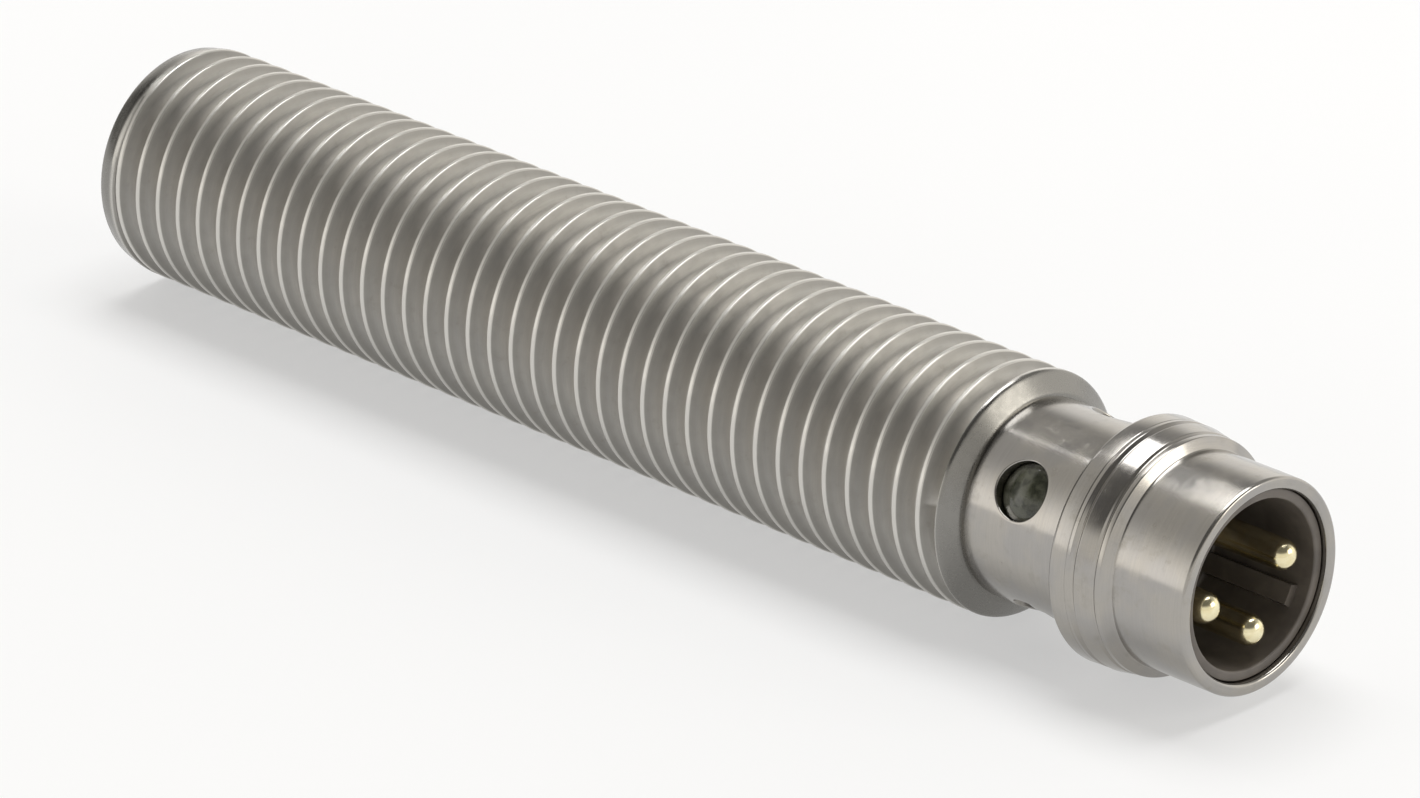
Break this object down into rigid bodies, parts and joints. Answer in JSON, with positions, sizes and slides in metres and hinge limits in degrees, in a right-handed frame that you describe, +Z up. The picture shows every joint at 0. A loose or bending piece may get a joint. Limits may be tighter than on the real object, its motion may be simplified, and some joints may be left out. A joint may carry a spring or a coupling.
{
  "type": "inductive proximity sensor",
  "caption": "Slim threaded cylindrical proximity sensor with a flush sensing face and a snap-in plug connector with round indicator windows.",
  "frame": {"origin": "centre of the flat sensing face, on the barrel's axis", "axes": "+X along the axis from the sensing face to the plug, +Z up with the sensor lying on its side, +Y completes the right-handed frame"},
  "size_m": [0.0485, 0.008, 0.008],
  "materials": {
    "barrel_steel": "turned stainless steel with a satin surface and fine tool marks",
    "shell_metal": "smooth nickel-coloured metal, brighter than the barrel",
    "cap_plastic": "fine matt moulded plastic",
    "ferrite": "pressed and fired dark ferrite",
    "bobbin_plastic": "natural moulded plastic",
    "copper_wire": "enamelled copper",
    "holder_plastic": "matt moulded plastic",
    "sleeve_plastic": "thin amber film tube",
    "board_laminate": "solder mask over laminate",
    "package_plastic": "moulded package resin",
    "chip_resistor": "glazed chip with tinned ends",
    "chip_capacitor": "tan fired chip with tinned ends",
    "led_chip": "clear resin over a pale body",
    "solder": "bright solder",
    "potting_resin": "smooth cured resin",
    "window_plastic": "clear smoky plastic with a polished face",
    "insert_plastic": "black glass-filled plastic",
    "seal_rubber": "matt rubber",
    "gold_contact": "thin polished gold plating"
  },
  "bodies": {
    "root": {"threaded_barrel": "barrel_steel", "sensing_face_cap": "cap_plastic", "ferrite_core": "ferrite", "coil_bobbin": "bobbin_plastic", "coil_winding": "copper_wire", "coil_lead_wires": "copper_wire", "core_holder": "holder_plastic", "insulation_sleeve": "sleeve_plastic", "circuit_board": "board_laminate", "sensor_ic": "package_plastic", "output_transistor": "package_plastic", "suppressor_diode": "package_plastic", "polarity_diode": "package_plastic", "chip_resistors": "chip_resistor", "chip_capacitors": "chip_capacitor", "status_leds": "led_chip", "solder_joints": "solder", "potting_compound": "potting_resin", "connector_shell": "shell_metal", "light_guide_ring": "window_plastic", "contact_carrier": "insert_plastic", "carrier_seal": "seal_rubber", "contact_pin_1": "gold_contact", "contact_pin_3": "gold_contact", "contact_pin_4": "gold_contact"}
  },
  "joints": []
}
